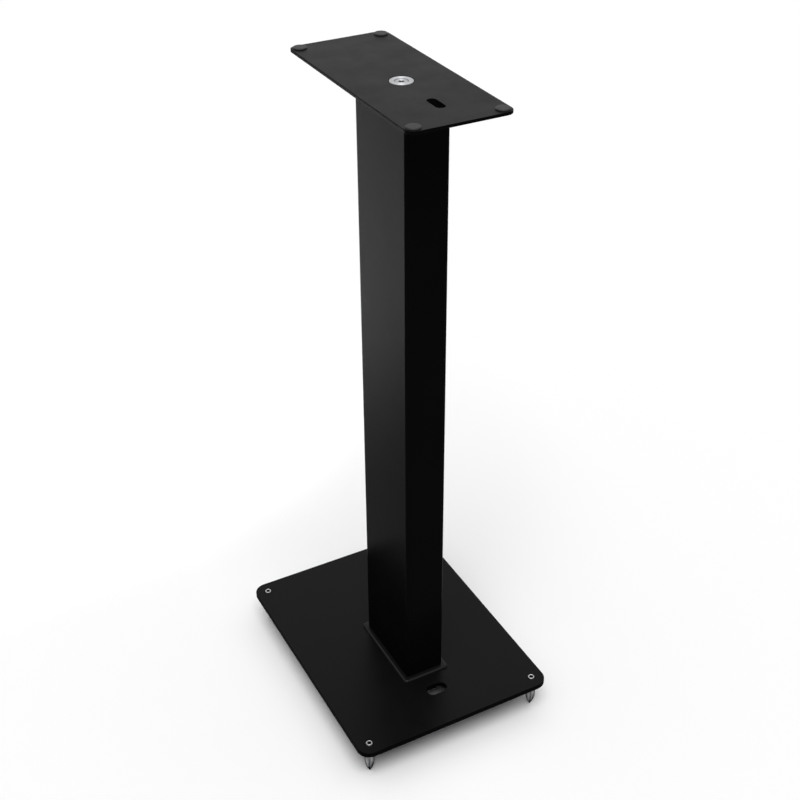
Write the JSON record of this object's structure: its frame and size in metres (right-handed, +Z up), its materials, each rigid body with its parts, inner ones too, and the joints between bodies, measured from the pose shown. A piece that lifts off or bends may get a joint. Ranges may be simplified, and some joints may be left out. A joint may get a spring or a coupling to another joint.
{
  "type": "speaker stand",
  "caption": "Floor stand for a bookshelf speaker: flat base on adjustable spikes, rectangular tube column, flat top plate with pads on a central pivot.",
  "frame": {"origin": "on the floor, under the centre of the base plate", "axes": "+Z up, +Y to the front of the stand, +X to the right as seen from behind; the cable openings are at the back, on the -Y side"},
  "size_m": [0.24, 0.31, 0.7392],
  "materials": {
    "base_coat": "satin black powder coat",
    "column_coat": "satin black powder coat",
    "foot_coat": "fine textured black powder coat",
    "top_coat": "satin black powder coat",
    "pad_rubber": "black rubber",
    "bright_nickel": "bright nickel plate over turned steel",
    "turned_steel": "dark fine turned steel",
    "zinc_steel": "dull zinc plate",
    "black_screws": "black oxide"
  },
  "bodies": {
    "stand": {"base_plate": "base_coat", "column_foot_plate": "foot_coat", "column_tube": "column_coat", "column_head_plate": "column_coat", "pivot_weld_nut": "zinc_steel", "foot_weld_nuts": "zinc_steel", "base_screws": "black_screws", "pivot_bush": "bright_nickel", "pivot_screw": "bright_nickel", "lock_nut_front_left": "zinc_steel", "lock_nut_front_right": "zinc_steel", "lock_nut_back_left": "zinc_steel", "lock_nut_back_right": "zinc_steel"},
    "top": {"top_plate": "top_coat", "pad_front_left": "pad_rubber", "pad_front_right": "pad_rubber", "pad_back_left": "pad_rubber", "pad_back_right": "pad_rubber"},
    "foot_front_left": {"spike_front_left": "turned_steel"},
    "foot_front_right": {"spike_front_right": "turned_steel"},
    "foot_back_left": {"spike_back_left": "turned_steel"},
    "foot_back_right": {"spike_back_right": "turned_steel"}
  },
  "joints": [
    {"name": "top_swivel", "type": "hinge", "parent": "stand", "child": "top", "pos_m": [0, -0.0255, 0.7362], "axis": [0, 0, 1], "continuous": true},
    {"name": "spike_height_front_left", "type": "slide", "parent": "stand", "child": "foot_front_left", "axis": [0, 0, -1], "range_m": [0, 0.005]},
    {"name": "spike_height_front_right", "type": "slide", "parent": "stand", "child": "foot_front_right", "axis": [0, 0, -1], "range_m": [0, 0.005]},
    {"name": "spike_height_back_left", "type": "slide", "parent": "stand", "child": "foot_back_left", "axis": [0, 0, -1], "range_m": [0, 0.005]},
    {"name": "spike_height_back_right", "type": "slide", "parent": "stand", "child": "foot_back_right", "axis": [0, 0, -1], "range_m": [0, 0.005]}
  ]
}
